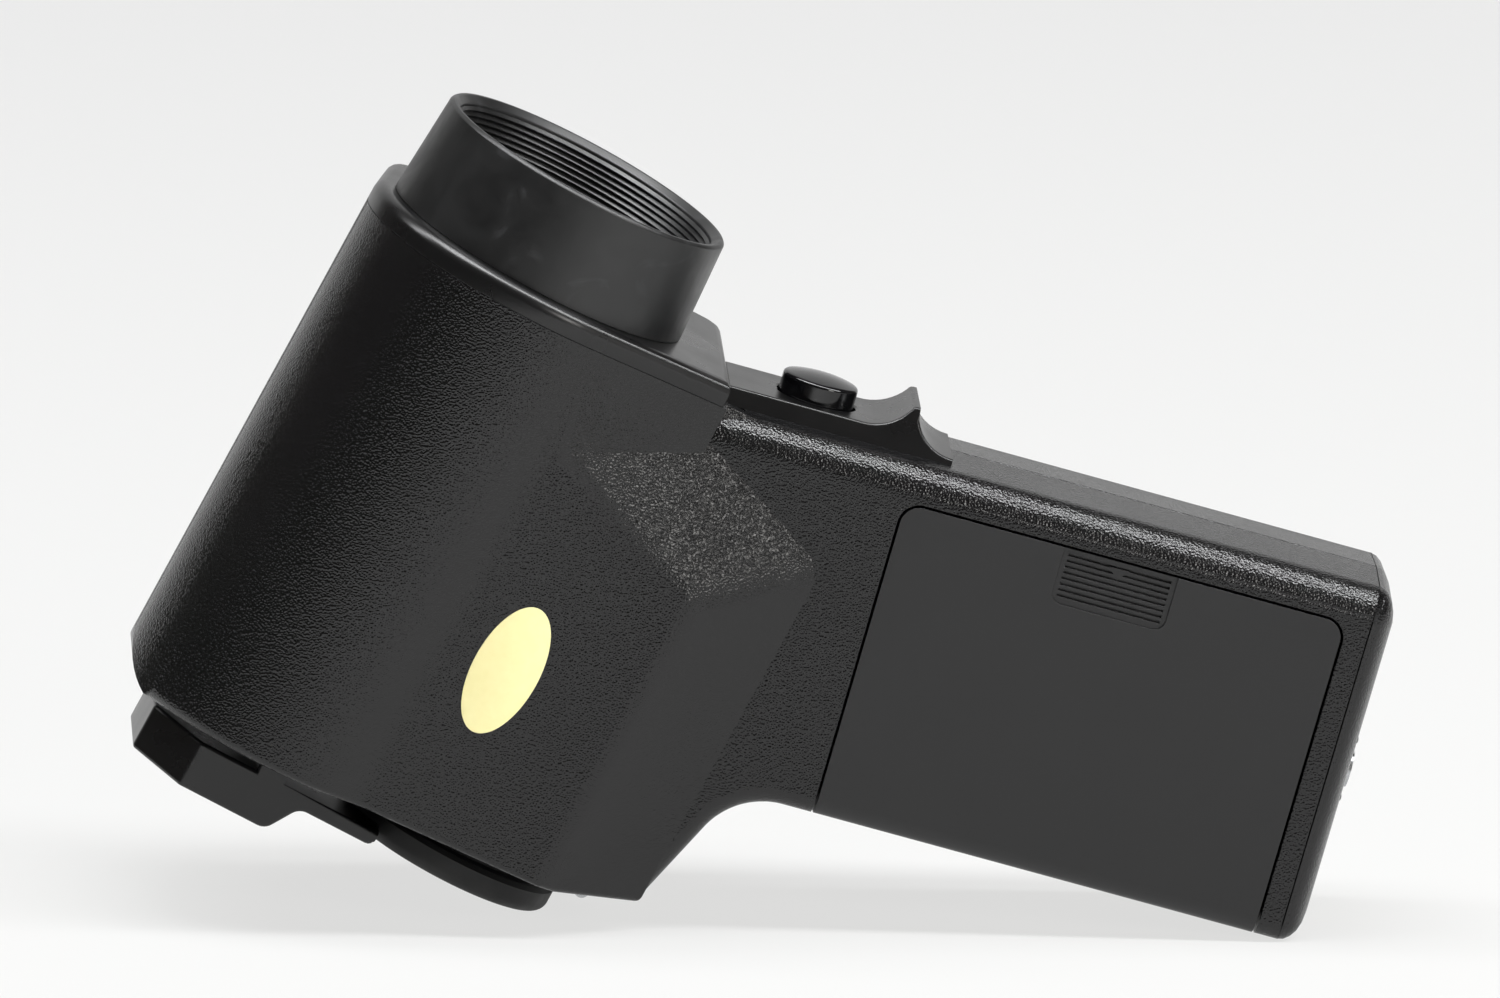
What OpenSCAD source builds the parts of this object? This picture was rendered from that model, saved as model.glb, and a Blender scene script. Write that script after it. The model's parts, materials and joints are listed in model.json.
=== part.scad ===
// Hand-held spot meter with a pistol grip.
// Every piece is drawn in the attitude of use: +X forward along the lens axis, +Y to the user's left and
// +Z up, with the lens axis at y = z = 0 and the front rim of the hood at x = 0.
// The finished pieces are turned to the resting attitude, on the eyepiece ring, the strap lug and the heel.

/* [Lens hood] */
// Outside diameter of the hood at its front rim
hood_front_d = 40; // [39:0.2:41]
// Outside diameter of the hood where it meets the front cover
hood_base_d = 41.6; // [41:0.2:43]
// How far the hood stands out of the front cover
hood_len = 13.8; // [10:0.2:18]
// Clear bore of the hood between its glare ribs
hood_bore_d = 36.6; // [35.6:0.2:37]
// Pitch of the glare ribs in the hood
hood_rib_pitch = 0.8; // [0.6:0.1:1.4]

/* [Head] */
// Radius of the rounded top about the lens axis
head_r = 23.2; // [22.8:0.1:24]
// Length of the two shells from the cover seam to the rear face, on the lens axis
head_len = 67.7; // [65:0.1:70]
// Backward lean of the rear face
rear_lean = 3; // [2:0.5:4]
// Radius of the upper rear edge of the head
top_round = 6; // [4:0.5:8]
// Angle at which the sides of the head narrow towards the grip
head_taper = 19; // [17:0.5:21]
// Thickness of the front cover
cover_t = 3.2; // [3:0.1:4.5]
// Drop from the lens axis to the lower end of the front cover
cover_drop = 28.2; // [27.5:0.1:30]
// Wall of the moulded shells and of the battery door
wall = 2; // [1.6:0.1:2.2]

/* [Side bulge] */
// Distance from the middle plane to the flat of the right bulge
bulge_half = 20.5; // [19.5:0.1:21.5]
// Slope of the bulge's front facet
bulge_front_slope = 24.3; // [20:0.1:30]
// Slope of the bulge's lower facet
bulge_low_slope = 25.7; // [22:0.1:30]

/* [Grip] */
// Width of the grip across the two shells
grip_w = 28; // [27:0.5:30]
// Depth of the grip from its front to its rear face
grip_depth = 48; // [46:0.5:51]
// Length of the grip from the front cover to its end
grip_len = 90.4; // [89:0.2:96]
// Forward lean of the grip
grip_lean = 12.3; // [10:0.1:15]
// Radius of the front shoulders of the grip
shoulder_r = 4.5; // [3.5:0.5:5]
// Radius of the rear edges of the grip
rear_edge_r = 2.5; // [2:0.1:3]
// Thickness of the cap that closes the grip
cap_t = 3.1; // [2.8:0.1:4]
// How far the rounding of the cap reaches in from the sides
cap_round = 5.5; // [3:0.1:5.5]

/* [Trigger] */
// Width of the trigger panel at its foot
panel_w = 16.5; // [15:0.5:17.5]
// Height of the trigger panel above the grip
panel_t = 2.4; // [2:0.1:3]
// Lean of the panel's sides towards its top
panel_draft = 16; // [8:1:20]
// Height of the finger hook above the grip
hook_h = 5.9; // [5:0.1:7]
// Diameter of the measuring button
button_d = 10; // [9:0.5:10.5]
// Travel of the measuring button
button_travel = 1.2; // [0.8:0.1:1.4]

/* [Battery] */
// Length of the battery door along the grip
door_len = 59; // [58:0.5:60]
// Diameter of the cell
cell_d = 14.5; // [14:0.1:14.5]
// Length of the cell over its positive cap
cell_len = 50.5; // [49:0.1:50.5]
// How far the battery door slides to the rear before it lifts off
door_travel = 14; // [8:1:15]

/* [Eyepiece] */
// Drop from the lens axis to the eyepiece axis
eye_drop = 25.9; // [25:0.1:26.5]
// Outside diameter of the eyepiece ring
eye_d = 30.2; // [29:0.2:31]
// How far the eyepiece ring stands out behind the rear face
eye_proud = 4.2; // [4:0.1:6]

/* [Control side] */
// Distance from the middle plane to the flat of the left control side
control_half = 22.6; // [22.4:0.1:23.6]
// Radius of the upper left edge of the head
left_edge_r = 6.5; // [5:0.5:7]
// Thickness of the control panel plate
plate_t = 0.8; // [0.6:0.1:1.2]
// Height of the keys above the control panel
key_proud = 1; // [0.8:0.1:1.4]
// Travel of a key
key_travel = 0.8; // [0.5:0.1:0.9]
// Spacing of the key columns
key_pitch = 9.5; // [9.2:0.1:10]

/* [Hidden] */
$fn = 64;

// Clearances
slide_gap = 0.3;
seat_gap = 0.1;
run_gap = 0.05;
tuck = 0.02;
parting_gap = 0.25;
parting_deep = 0.7;
far = 200;

// Colours of the pieces
black_grain = "#1d1d1f";
black_satin = "#161618";
black_gloss = "#0c0c0e";
black_rubber = "#121212";
clear_glass = "#b8c8d0";
bright_steel = "#b9bcc0";
brass_tone = "#b08d4a";
board_green = "#1f5a3c";

// Places along the lens axis
x_face = -hood_len;
x_seam = x_face - cover_t;
x_rear = x_seam - head_len;
grip_half = grip_w / 2;
head_foot = cover_drop + 0.6;
grip_at = [x_seam - 0.5, -cover_drop - 1.3];
grip_root = 12;
cap_seam = grip_len - cap_t;
crown = 0.4;

// The rear lower part of the head, behind the grip
rake_top = -38.5;
rake_x = x_rear - rake_top * tan(rear_lean);
web_rear = [x_rear + 5, -49.6];
web_fall = 14;
web_depth = 22;
fillet_r = 10;

// Bulge: the upper end of its front edge, and the turn of that edge from upright
bulge_edge = [x_seam - 14.4, -12.9];
bulge_edge_turn = 20.5;
bulge_crease = -36.2;
bulge_top = -5;

// Left side of the head: a flat side with rounded edges, and below it the part that carries the controls
left_top = 21;
left_foot_r = 3;
left_centre = [control_half - left_edge_r, left_top - left_edge_r];
left_turn = atan2(left_centre[0], left_centre[1]) - acos((head_r - left_edge_r) / norm(left_centre));
control_front = x_seam - 16.5;
control_foot = -43;
control_step = -29;
control_bevel = 4;

// Glare ribs, hood lip and spigot
rib_depth = 0.35;
lip = 0.8;
spigot_d = hood_bore_d + 1.8;

// Lens barrel and its contents
barrel_d = 30;
barrel_bore = 26;
flange_d = 38.4;
flange_t = 1.8;
lens_d = barrel_bore - 2 * seat_gap;
lens_edge = 3;
lens_sag = 1.5;
retainer_t = 1.8;
spacer_len = 12;
stop_bore = 22;
x_retainer = x_seam - flange_t;
x_front_lens = x_retainer - retainer_t - lens_sag;
x_spacer = x_front_lens - lens_edge;
x_rear_lens = x_spacer - spacer_len;
x_stop = x_rear_lens - lens_edge - lens_sag / 3;

// Optics frame, a rectangular tube that is open above and below
frame_len = 28;
frame_half = 15.5;
frame_wall = 1.5;
frame_top = 14;
frame_foot = -38;
frame_rear = x_rear + wall + 2.5;
frame_front = frame_rear + frame_len;
frame_inside = frame_half - frame_wall;
ear_x = frame_front + 14;
ear_z = [10.5, -20];
ear_size = 7;
prism_leg = 21;
prism_rear = frame_rear + frame_wall;
prism_top = -eye_drop + prism_leg / 2;
screen_t = 1.5;
screen_len = 18.5;
mirror_x = prism_rear + prism_leg / 2;
mirror_len = 26;
mirror_t = 1.5;
cell_sensor_d = 9;
sensor_len = 5;
aperture_t = 0.5;
aperture_d = 1;
sensor_board_t = 1.2;
sensor_board = 16;
sensor_board_foot = -6;

// Eyepiece
sleeve_d = 24;
sleeve_bore = 20.4;
sleeve_flange_d = 28;
eye_edge_r = 1.5;
eye_gap = 0.4;
eye_rear = x_rear - eye_proud;
eye_lens_d = 20;
eye_opening = 17;
eye_lip = 0.9;
eye_lens_t = 1.8;

// Rear cover: gap to the rear face, plate, raised pad and the rib that joins it to the rear face
brow_gap = 2;
brow_plate = 2;
brow_pad = 6.4;
brow_half = 17;
brow_top = 17.1;
brow_top_half = 8.5;
brow_shoulder = 10.6;
brow_foot = -15.4;
brow_tip = -1;
brow_slope = 32;
brow_round = 2;
brow_rib_z = [-1.5, 2.5];

// Trigger
panel_start = -0.6;
panel_end = 29.9;
hook_foot = 17.5;
hook_tip = 23.4;
hook_tip_w = 0.8;
toe_h = 0.8;
button_t = 11.4;
button_top = 5.6;
button_dome_r = 18;
button_flange = 13;
button_flange_t = 1.2;
flange_d0 = wall + slide_gap;
switch_top = flange_d0 + button_flange_t + button_travel + slide_gap;
plunger = 1;
switch_body = 3.4;
switch_size = 6;
board_t = 1.4;
switch_foot = switch_top + plunger + switch_body;
switch_board_t0 = 4;
switch_board_t1 = 20;
spring_wire = 0.8;
spring_d = 10.8;

// Battery door, its thumb pad and its guide tongues
door_start = cap_seam - 3.3 - door_len;
door_end = door_start + door_len;
door_front = shoulder_r + 0.7;
door_corner_r = 2.5;
pad_start = door_start + 21.4;
pad_len = 15.2;
pad_depth = 7.4;
pad_recess = 0.3;
pad_corner_r = 1.6;
groove_count = 8;
groove_start = 0.7;
groove_pitch = 0.78;
groove_w = 0.3;
groove_deep = 0.5;
groove_margin = 0.7;
arrow_start = 0.9;
arrow_len = 1.6;
arrow_half = 1.4;
tongue = 1;
tongue_t = 1;
tongue_front = door_front + 3;
tongue_rear = grip_depth - wall - door_travel - 2;

// Battery tray: a trough that opens to the door
tray_end = cap_seam - 4.3;
tray_end_wall = 2;
tray_width = 18;
tray_mid = grip_depth / 2;
cell_y = -3.5;
cell_gap = 0.35;
cap_nub_d = 5.5;
cap_nub = 1.1;
contact_t = 0.4;
contact_size = 10;
contact_play = 0.2;
spring_len = 3.4;
cell_end = tray_end - tray_end_wall - spring_len;
cell_start = cell_end - cell_len;
tray_start = cell_start - contact_play - contact_t - tray_end_wall;

// Grip end: cap, sync terminal and tripod bush
cap_steps = 6;
rim_t = 1.2;
rim_deep = 1.9;
sync_d = 6;
sync_proud = 1.15;
sync_boss = 4.8;
sync_bore = 3.2;
sync_pin = 1.2;
sync_depth = 5;
sync_len = 6.5;
sync_at = grip_depth / 2 + 2.3;
pip_at = 3.95;
pip_d = 0.9;
bush_at = grip_depth - 10;
bush_d = 9;
bush_bore = 5.1;
bush_len = 7;
bush_boss = 13;

// Strap lug: a bent wire loop
lug_wire = 2;
lug_span = 7;
lug_y = 8;
lug_z = -45;
lug_deep = 4;

// Control side: display, keys and sliders
key_size = [7.4, 4.6];
key_flange = [8.6, 5.8];
key_flange_t = 1;
key_column = x_rear + 10;
key_rows = [-11.5, -19.5];
key_seat = control_half - wall - slide_gap;
main_board_t = 1.6;
mat_y = frame_half + main_board_t;
mat_t = key_seat - key_flange_t - key_travel - slide_gap - mat_y;
board_z = [-34, 13];
display_size = [32, 16];
display_z = -4;
display_view = [27, 11];
window_size = [31, 14.4];
panel_z = [-34, 13.5];
panel_x = [x_rear + 3, x_rear + 44];
panel_mid = x_rear + 23.5;
slider_z = -28;
slider_x = [x_rear + 16, x_rear + 32];
slider_cap = [5, 3.4];
slider_travel = 3;
slider_base = [12, 6];

// Screws
screw_d = 2.2;
screw_head_d = 4;
screw_head = 1.6;
pillar_d = 6;
seat_y = 10;
screw_bite = 8;
case_screw_at = [
    [x_seam - 6, -cover_drop - 3],
    [x_rear + 14.7, -46.5],
    [x_rear + 18.7, head_r - 5.5]
];
grip_screw_at = [8.5, cap_seam - 17.3];
brow_screw_y = 11;
brow_screw_z = (brow_rib_z[0] + brow_rib_z[1]) / 2;
brow_screw_head = 1.2;
brow_screw_bite = 5;
cap_screw_at = [[8, 9.2], [grip_depth - 5.5, 9.2]];
cap_screw_len = 7;
cap_screw_seat = 1;

// The resting attitude: the floor touches the rim of the eyepiece ring and the rounded heel of the cap
function grip_point(d, t) = [
    grip_at[0] + t * sin(grip_lean) - d * cos(grip_lean),
    grip_at[1] - t * cos(grip_lean) - d * sin(grip_lean)
];
top_centre = [x_rear - head_r * tan(rear_lean) + top_round, head_r - top_round];
rim_centre = [eye_rear + eye_edge_r, -eye_drop - eye_d / 2 + eye_edge_r];
heel_centre = grip_point(grip_depth - cap_round, cap_seam);
toe_centre = grip_point(cap_round, cap_seam);
rest_span = heel_centre - rim_centre;
function rest_for(reach) =
    acos((eye_edge_r - reach) / norm(rest_span)) - atan2(rest_span[0], -rest_span[1]);
function heel_reach(tilt) = norm([cap_round * sin(tilt + grip_lean), cap_t * cos(tilt + grip_lean)]);
rest_tilt = rest_for(heel_reach(rest_for(cap_round)));
toe_reach = norm([cap_round * cos(rest_tilt + grip_lean), cap_t * sin(rest_tilt + grip_lean)]);
function rest_x(p) = p[0] * cos(rest_tilt) - p[1] * sin(rest_tilt);
function rest_z(p) = p[0] * sin(rest_tilt) + p[1] * cos(rest_tilt);
floor_z = rest_z(rim_centre) - eye_edge_r;
rest_min_x = rest_x(top_centre) - top_round;
rest_max_x = rest_x(toe_centre) + toe_reach;
rest_mid_y = (control_half + plate_t + key_proud - head_r) / 2;
lug_tip = (floor_z + lug_wire / 2 - lug_z * cos(rest_tilt)) / sin(rest_tilt);

// Points of an arc about c, in n steps
function turned(c, r, a) = c + r * [cos(a), sin(a)];
function arc(c, r, a0, a1, n) = [for (i = [0:n]) turned(c, r, a0 + (a1 - a0) * i / n)];

// Turns a piece from the attitude of use to the resting attitude
module rest() {
    translate([-(rest_min_x + rest_max_x) / 2, -rest_mid_y, -floor_z])
        rotate([0, -rest_tilt, 0])
        children();
}

// Local frame of the grip: X to the rear from its front face, Y left, Z down along the grip
module in_grip() {
    translate([grip_at[0], 0, grip_at[1]]) rotate([0, 180 - grip_lean, 0]) children();
}

// Sweeps a shape drawn in y and z along the lens axis
module along_x(x0, x1) {
    translate([x0, 0, 0]) rotate([90, 0, 90]) linear_extrude(x1 - x0) children();
}

// Sweeps a shape drawn in x and z across the object
module along_y(y0, y1) {
    translate([0, y1, 0]) rotate([90, 0, 0]) linear_extrude(y1 - y0) children();
}

module rod_x(x0, x1, d, z = 0, y = 0) {
    translate([x0, y, z]) rotate([0, 90, 0]) cylinder(h = x1 - x0, d = d);
}

module rod_y(y0, y1, d, x, z) {
    translate([x, y0, z]) rotate([-90, 0, 0]) cylinder(h = y1 - y0, d = d);
}

module plate_square(x, z, size) {
    translate([x - size[0] / 2, z - size[1] / 2]) square(size);
}

// Outline of the head seen from the rear: round above and narrowing below on the right, flat on the left
module head_profile(inset, drop, left_drop) {
    r = head_r - inset;
    half = grip_half - inset;
    tangent = (r - tuck) * [-cos(head_taper), -sin(head_taper)];
    neck = tangent[1] + (tangent[0] + half) / tan(head_taper);
    edge_r = left_edge_r - inset;
    foot_r = max(left_foot_r - inset, 0.3);
    left = control_half - inset;
    across = [sin(left_turn), cos(left_turn)];
    intersection() {
        union() {
            circle(r = r);
            polygon([tangent, [-half, neck], [-half, -drop], [half, -drop], [half, 0], [0, 0]]);
        }
        translate([-head_r, -drop]) square([head_r + left, drop + head_r]);
    }
    translate(left_centre) circle(r = edge_r);
    translate([left - foot_r, foot_r - left_drop]) circle(r = foot_r);
    polygon([
        [0, 0], r * across, left_centre + edge_r * across, left_centre + [edge_r, 0],
        [left, foot_r - left_drop], [left - foot_r, foot_r - left_drop],
        [left - foot_r, -left_drop], [0, -left_drop]
    ]);
}

// Rounded section of the grip, drawn in depth and width
module rounded_section(depth, half, front_r, rear_r) {
    translate([front_r, -half]) square([depth - front_r - rear_r, 2 * half]);
    translate([0, -half + front_r]) square([front_r, 2 * (half - front_r)]);
    translate([depth - rear_r, -half + rear_r]) square([rear_r, 2 * (half - rear_r)]);
    for (side = [-1, 1]) {
        translate([front_r, side * (half - front_r)]) circle(r = front_r);
        translate([depth - rear_r, side * (half - rear_r)]) circle(r = rear_r);
    }
}

// Section of the grip with a slight crown at the parting line of its front face
module grip_section(inset) {
    half = grip_half - inset;
    front_r = max(shoulder_r - inset, 0.3);
    translate([inset, 0]) {
        rounded_section(grip_depth - 2 * inset, half, front_r, max(rear_edge_r - inset, 0.3));
        polygon([[0.01, -half + front_r], [-crown, 0], [0.01, half - front_r]]);
    }
}

// Raised housing on the right side, with a flat side, a front facet and a lower facet
module bulge(inset) {
    flat = bulge_half - inset;
    foot = bulge_crease - (bulge_half - grip_half) / tan(bulge_low_slope);
    mirror([0, 1, 0]) difference() {
        translate([x_rear - head_r, 0, foot + inset])
            cube([head_len + head_r, flat, bulge_top - foot - inset]);
        translate([bulge_edge[0], bulge_half, bulge_edge[1]])
            rotate([0, bulge_edge_turn, 0])
            rotate([0, 0, 90 - bulge_front_slope])
            translate([-inset, -far / 2, -far / 2])
            cube(far);
        translate([x_rear - head_len, bulge_half, bulge_crease])
            rotate([-90 - bulge_low_slope, 0, 0])
            translate([0, -far / 2, -inset])
            cube(far);
    }
}

// Deeper part of the left side that carries the lower controls, bevelled at its foot
module control_side(inset) {
    flat = control_half - inset;
    foot = control_foot + inset;
    front = control_front - inset;
    slope = control_step - control_foot;
    intersection() {
        along_x(x_rear - head_r, x_seam) polygon([
            [0, foot], [flat - control_bevel, foot], [flat, foot + control_bevel], [flat, 0], [0, 0]
        ]);
        along_y(0, control_half) polygon([
            [x_rear - head_r, foot], [front - slope, foot], [front, foot + slope],
            [front, 0], [x_rear - head_r, 0]
        ]);
    }
}

// Rear lower part of the head, which runs down into the rear of the grip
module web(inset) {
    translate([web_rear[0] - 8, 0, web_rear[1] + 8 * tan(web_fall)])
        rotate([0, 90 + web_fall, 0])
        translate([-web_depth, 0, 0])
        linear_extrude(40)
        translate([inset, 0])
        rounded_section(web_depth - 2 * inset, grip_half - inset, 0.3, max(rear_edge_r - inset, 0.3));
}

// Hollow curve between the rear lower part of the head and the rear of the grip
module web_fillet() {
    turn = 90 - web_fall - grip_lean;
    rear_line = grip_point(grip_depth, 0);
    run = [cos(web_fall), -sin(web_fall)];
    fall = [sin(grip_lean), -cos(grip_lean)];
    gap = rear_line - web_rear;
    cross = run[0] * fall[1] - run[1] * fall[0];
    meet = web_rear + run * (gap[0] * fall[1] - gap[1] * fall[0]) / cross;
    back = fillet_r * tan(turn / 2);
    centre = meet - run * back - fillet_r * [sin(web_fall), cos(web_fall)];
    translate([centre[0], 0, centre[1]])
        rotate([0, -grip_lean, 0])
        rotate([90, 0, 0])
        rotate_extrude(angle = turn)
        translate([fillet_r, 0])
        rounded_section(web_depth, grip_half - tuck, rear_edge_r, 0.3);
}

// Everything behind the leaning rear face
module behind_rear(inset) {
    translate([x_rear, 0, 0])
        rotate([0, -rear_lean, 0])
        translate([inset - far, -far / 2, -far / 2])
        cube(far);
}

// Whole outer form of the two shells, or with an inset the hollow inside them
module body(inset) {
    open = inset > 0 ? 1 : 0;
    difference() {
        union() {
            along_x(x_rear - wall, x_seam + open)
                head_profile(inset, inset > 0 ? cover_drop - inset : head_foot, cover_drop - inset);
            bulge(inset);
            control_side(inset);
            in_grip()
                translate([0, 0, -grip_root])
                linear_extrude(grip_root + cap_seam + open)
                grip_section(inset);
            web(inset);
            if (inset == 0) web_fillet();
        }
        translate([rake_x, 0, rake_top])
            rotate([0, -atan2(web_rear[0] - rake_x, rake_top - web_rear[1]), 0])
            translate([inset - far, -far / 2, -far])
            cube(far);
        behind_rear(inset);
        difference() {
            translate([top_centre[0] - far, -far / 2, top_centre[1]]) cube(far);
            rod_y(-far, far, 2 * (top_round - inset), top_centre[0], top_centre[1]);
        }
    }
}

module half_space(side) {
    translate([-far, side > 0 ? 0 : -far, -far]) cube([2 * far, far, 2 * far]);
}

// Groove that shows as a dark line where the two shells meet
module parting_groove() {
    difference() {
        translate([-far, 0, -far]) cube([2 * far, parting_gap, 2 * far]);
        body(parting_deep);
    }
}

// Pillars that carry the case screws, on one side of the middle plane
module case_pillars(side) {
    intersection() {
        body(0);
        half_space(side);
        union() {
            for (p = case_screw_at) rod_y(-far, far, pillar_d, p[0], p[1]);
            in_grip() {
                rod_y(-screw_bite - 1, far, pillar_d, grip_screw_at[0], grip_screw_at[1]);
                translate([wall / 2, -screw_bite, grip_screw_at[1] - 1])
                    cube([grip_screw_at[0] - wall / 2, 2 * screw_bite, 2]);
            }
        }
    }
}

// Repeats a feature at every case screw, in the attitude of use
module at_case_screws() {
    for (p = case_screw_at) translate([p[0], 0, p[1]]) rotate([-90, 0, 0]) children();
    in_grip() translate([grip_screw_at[0], 0, grip_screw_at[1]]) rotate([-90, 0, 0]) children();
}

// Round hole in the front of the grip for the measuring button
module button_hole() {
    in_grip() translate([-wall, 0, button_t]) rotate([0, 90, 0])
        cylinder(h = 3 * wall, d = button_d + 2 * slide_gap);
}

// Openings in the rear wall for the eyepiece sleeve and the screws of the rear cover
module rear_openings() {
    rod_x(x_rear - 1, x_rear + wall + 3, sleeve_flange_d + 0.8, -eye_drop);
    for (side = [-1, 1])
        rod_x(x_rear - 1, x_rear + wall + 1, screw_d + 2 * seat_gap, brow_screw_z, side * brow_screw_y);
}

// Outline of the battery door in depth and length along the grip, grown by a margin
module door_outline(margin) {
    r = door_corner_r + margin;
    translate([door_front - margin + r, door_start - margin]) square([grip_depth, door_len + 2 * margin]);
    translate([door_front - margin, door_start - margin + r]) square([r + 1, door_len + 2 * (margin - r)]);
    for (t = [door_start - margin + r, door_end + margin - r])
        translate([door_front - margin + r, t]) circle(r = r);
}

// Opening in the right shell for the battery door, through the side wall and the rear wall
module door_opening() {
    in_grip() {
        along_y(-grip_half - 1, -grip_half + wall + slide_gap) door_outline(slide_gap);
        along_y(-grip_half - 1, 1)
            translate([grip_depth - wall - slide_gap, door_start - slide_gap])
            square([wall + 2, door_len + 2 * slide_gap]);
    }
}

// Right shell, seen in full from the user's right
module right_shell() {
    color(black_grain) difference() {
        union() {
            difference() {
                intersection() {
                    body(0);
                    half_space(-1);
                }
                body(wall);
            }
            case_pillars(-1);
        }
        at_case_screws()
            translate([0, 0, -screw_bite - 0.5])
            cylinder(h = screw_bite + 1, d = screw_d + 2 * seat_gap);
        button_hole();
        rear_openings();
        door_opening();
    }
}

// Bosses inside the left shell for the optics frame and the end cap
module left_bosses() {
    intersection() {
        body(0);
        union() {
            for (z = ear_z) rod_y(frame_half, far, pillar_d, ear_x, z);
            in_grip() for (p = cap_screw_at) translate([p[0], p[1], cap_seam - cap_screw_len])
                cylinder(h = cap_screw_len, d = pillar_d);
        }
    }
}

// Holes through the left shell for the display, the keys and the sliders
module control_holes(y0, y1, gap, view) {
    along_y(y0, y1) {
        plate_square(panel_mid, display_z + display_size[1] / 2, view);
        for (row = key_rows, i = [0:3])
            plate_square(key_column + i * key_pitch, row, key_size + 2 * [gap, gap]);
        for (x = slider_x)
            plate_square(x, slider_z, slider_cap + 2 * [slider_travel + gap, gap]);
    }
}

// Left shell, with the flat side that carries the controls
module left_shell() {
    color(black_grain) difference() {
        union() {
            difference() {
                intersection() {
                    body(0);
                    half_space(1);
                }
                body(wall);
                parting_groove();
            }
            case_pillars(1);
            left_bosses();
        }
        at_case_screws() {
            translate([0, 0, -1]) cylinder(h = seat_y + 2, d = screw_d + 2 * seat_gap);
            translate([0, 0, seat_y]) cylinder(h = grip_w, d = screw_head_d + 4 * seat_gap);
        }
        button_hole();
        rear_openings();
        control_holes(control_half - wall - 1, control_half + 1, slide_gap, display_view);
        for (z = ear_z) rod_y(frame_half - 1, frame_half + 5, screw_d + 2 * seat_gap, ear_x, z);
        in_grip() for (p = cap_screw_at) translate([p[0], p[1], cap_seam - cap_screw_len + 1])
            cylinder(h = cap_screw_len, d = screw_d + 2 * seat_gap);
        lug_legs(lug_wire + 2 * seat_gap);
    }
}

// Outline of the head inside its wall, for the rim of the front cover
module cover_rim(inset) {
    head_profile(inset, cover_drop - inset, cover_drop - inset);
}

// Front cover: a plate of the head's outline with a rounded front edge, and a rim that fits in the shells
module front_cover() {
    edge = cover_t / 2;
    steps = 4;
    slab = 0.05;
    color(black_satin) difference() {
        union() {
            hull() {
                along_x(x_seam, x_seam + slab) cover_rim(0);
                for (i = [0:steps]) {
                    a = 90 * i / steps;
                    x = x_face - edge * (1 - sin(a));
                    along_x(x - slab, x) cover_rim(edge * (1 - cos(a)));
                }
            }
            difference() {
                along_x(x_seam - rim_deep, x_seam) cover_rim(wall + seat_gap);
                along_x(x_seam - rim_deep - 1, x_seam + 1) cover_rim(wall + seat_gap + rim_t);
            }
        }
        rod_x(x_seam - 1, x_face + 1, spigot_d + 2 * seat_gap);
    }
}

// Lens hood: a slightly conical ring with glare ribs inside, and a spigot through the front cover
module lens_hood() {
    r0 = hood_base_d / 2;
    r1 = hood_front_d / 2;
    bore = hood_bore_d / 2;
    ribs = floor((hood_len - lip - 1) / hood_rib_pitch);
    color(black_satin) rotate([0, 90, 0]) rotate_extrude() polygon(concat(
        [
            [bore, x_seam + 0.2], [spigot_d / 2, x_seam + 0.2], [spigot_d / 2, x_face], [r0, x_face],
            [r1, -lip / 2], [r1 - lip / 2, 0], [r1 - lip, 0], [bore, -lip]
        ],
        [for (i = [0:ribs - 1], k = [0, 1])
            [bore - rib_depth * k, -lip - hood_rib_pitch * (i + 0.5 + 0.5 * k)]],
        [[bore, -lip - hood_rib_pitch * (ribs + 0.5)]]
    ));
}

// Side outline of the rear cover, drawn in x and z: a thick pad above that falls in a slope to a thin plate
module brow_side() {
    x0 = x_rear - brow_gap;
    x1 = x0 - brow_plate;
    x2 = x0 - brow_pad;
    tip = [x2 + brow_round, brow_tip];
    turn = 90 - brow_slope;
    run = x1 - x2 - 2 * brow_round * (1 - cos(turn));
    hollow = [x1 - brow_round, brow_tip - 2 * brow_round * sin(turn) - run / tan(turn)];
    polygon(concat(
        [[x0, brow_top], [x2, brow_top]],
        arc(tip, brow_round, 180, 180 + turn, 6),
        arc(hollow, brow_round, turn, 0, 6),
        arc([x1 + brow_plate / 2, brow_foot + brow_plate / 2], brow_plate / 2, 180, 270, 4),
        [[x0, brow_foot]]
    ));
}

// Rear cover: a pad behind the light sensor, standing a little off the rear face on one rib
module rear_cover() {
    color(black_satin) difference() {
        union() {
            intersection() {
                along_y(-brow_half, brow_half) brow_side();
                along_x(x_rear - 2 * brow_pad, x_rear) polygon([
                    [-brow_half, brow_foot], [-brow_half, brow_shoulder], [-brow_top_half, brow_top],
                    [brow_top_half, brow_top], [brow_half, brow_shoulder], [brow_half, brow_foot]
                ]);
            }
            intersection() {
                translate([x_rear - brow_gap, -brow_half, brow_rib_z[0]])
                    cube([2 * brow_gap, 2 * brow_half, brow_rib_z[1] - brow_rib_z[0]]);
                behind_rear(0);
            }
        }
        rod_x(x_rear - 2 * brow_pad, x_rear + 1, eye_d + 1.2, -eye_drop);
        for (side = [-1, 1])
            translate([0, side * brow_screw_y, 0])
            rod_x(x_rear - brow_screw_bite - 0.5, x_rear + 1, screw_d + 2 * seat_gap, brow_screw_z);
    }
}

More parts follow.
